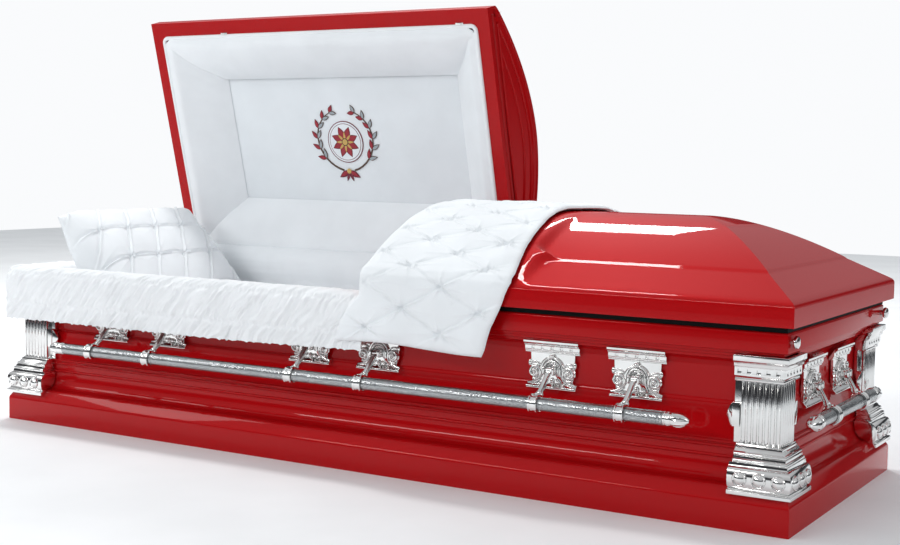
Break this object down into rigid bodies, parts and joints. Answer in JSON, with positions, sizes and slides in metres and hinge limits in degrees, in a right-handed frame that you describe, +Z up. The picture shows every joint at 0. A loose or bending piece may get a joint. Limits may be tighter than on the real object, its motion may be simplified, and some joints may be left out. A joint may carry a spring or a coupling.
{
  "type": "funeral casket",
  "caption": "Half-couch steel funeral casket with its head lid open, swing bars, corner columns, hipped foot lid and white cloth interior.",
  "frame": {"origin": "centre of the flat underside of the base", "axes": "+X towards the foot end, -Y is the front long side, +Z up"},
  "size_m": [2.134, 0.867, 1.0829],
  "materials": {
    "red_paint": "high gloss metallic red",
    "chrome": "bright chrome plate",
    "hammered_metal": "hammered silver bar with chrome tips",
    "gasket_rubber": "black rubber seal",
    "white_cloth": "white velvet and crepe"
  },
  "bodies": {
    "casket_body": {"body_back": "red_paint", "body_foot": "red_paint", "body_front": "red_paint", "body_head": "red_paint", "body_lining": "white_cloth", "bottom_pan": "red_paint", "column_back_foot": "chrome", "column_back_head": "chrome", "column_front_foot": "chrome", "column_front_head": "chrome", "front_overlay": "white_cloth", "gasket": "gasket_rubber", "lug_back_1": "chrome", "lug_back_2": "chrome", "lug_back_3": "chrome", "lug_back_4": "chrome", "lug_back_5": "chrome", "lug_back_6": "chrome", "lug_foot_1": "chrome", "lug_foot_2": "chrome", "lug_front_1": "chrome", "lug_front_2": "chrome", "lug_front_3": "chrome", "lug_front_4": "chrome", "lug_front_5": "chrome", "lug_front_6": "chrome", "lug_head_1": "chrome", "lug_head_2": "chrome", "mattress": "white_cloth", "pillow": "white_cloth", "rail_knob_1": "chrome", "rail_knob_2": "chrome"},
    "head_lid_assembly": {"head_lid": "red_paint", "head_lid_lining": "white_cloth", "head_lid_panel": "white_cloth", "lid_catch_1": "chrome", "lid_catch_2": "chrome"},
    "foot_lid_assembly": {"foot_lid": "red_paint", "foot_lid_lining": "white_cloth", "foot_throw": "white_cloth"},
    "front_bar_assembly": {"bar_front": "hammered_metal", "arm_front_1": "chrome", "arm_front_2": "chrome", "arm_front_3": "chrome", "arm_front_4": "chrome", "arm_front_5": "chrome", "arm_front_6": "chrome"},
    "back_bar_assembly": {"bar_back": "hammered_metal", "arm_back_1": "chrome", "arm_back_2": "chrome", "arm_back_3": "chrome", "arm_back_4": "chrome", "arm_back_5": "chrome", "arm_back_6": "chrome"},
    "foot_bar_assembly": {"bar_foot": "hammered_metal", "arm_foot_1": "chrome", "arm_foot_2": "chrome"},
    "head_bar_assembly": {"bar_head": "hammered_metal", "arm_head_1": "chrome", "arm_head_2": "chrome"}
  },
  "joints": [
    {"name": "head_lid_hinge", "type": "hinge", "parent": "casket_body", "child": "head_lid_assembly", "pos_m": [-0.4865, 0.343, 0.387], "axis": [1, 0, 0], "range_deg": [-10, 75.2], "deforming": ["front_overlay", "pillow"]},
    {"name": "foot_lid_hinge", "type": "hinge", "parent": "casket_body", "child": "foot_lid_assembly", "pos_m": [0.5635, 0.343, 0.387], "axis": [-1, 0, 0], "range_deg": [0, 75]},
    {"name": "front_bar_swing", "type": "hinge", "parent": "casket_body", "child": "front_bar_assembly", "pos_m": [0, -0.329, 0.266], "axis": [-1, 0, 0], "range_deg": [0, 35]},
    {"name": "back_bar_swing", "type": "hinge", "parent": "casket_body", "child": "back_bar_assembly", "pos_m": [0, 0.329, 0.266], "axis": [1, 0, 0], "range_deg": [0, 35]},
    {"name": "foot_bar_swing", "type": "hinge", "parent": "casket_body", "child": "foot_bar_assembly", "pos_m": [1.018, 0, 0.253], "axis": [0, -1, 0], "range_deg": [0, 55]},
    {"name": "head_bar_swing", "type": "hinge", "parent": "casket_body", "child": "head_bar_assembly", "pos_m": [-1.018, 0, 0.253], "axis": [0, 1, 0], "range_deg": [0, 55]}
  ]
}
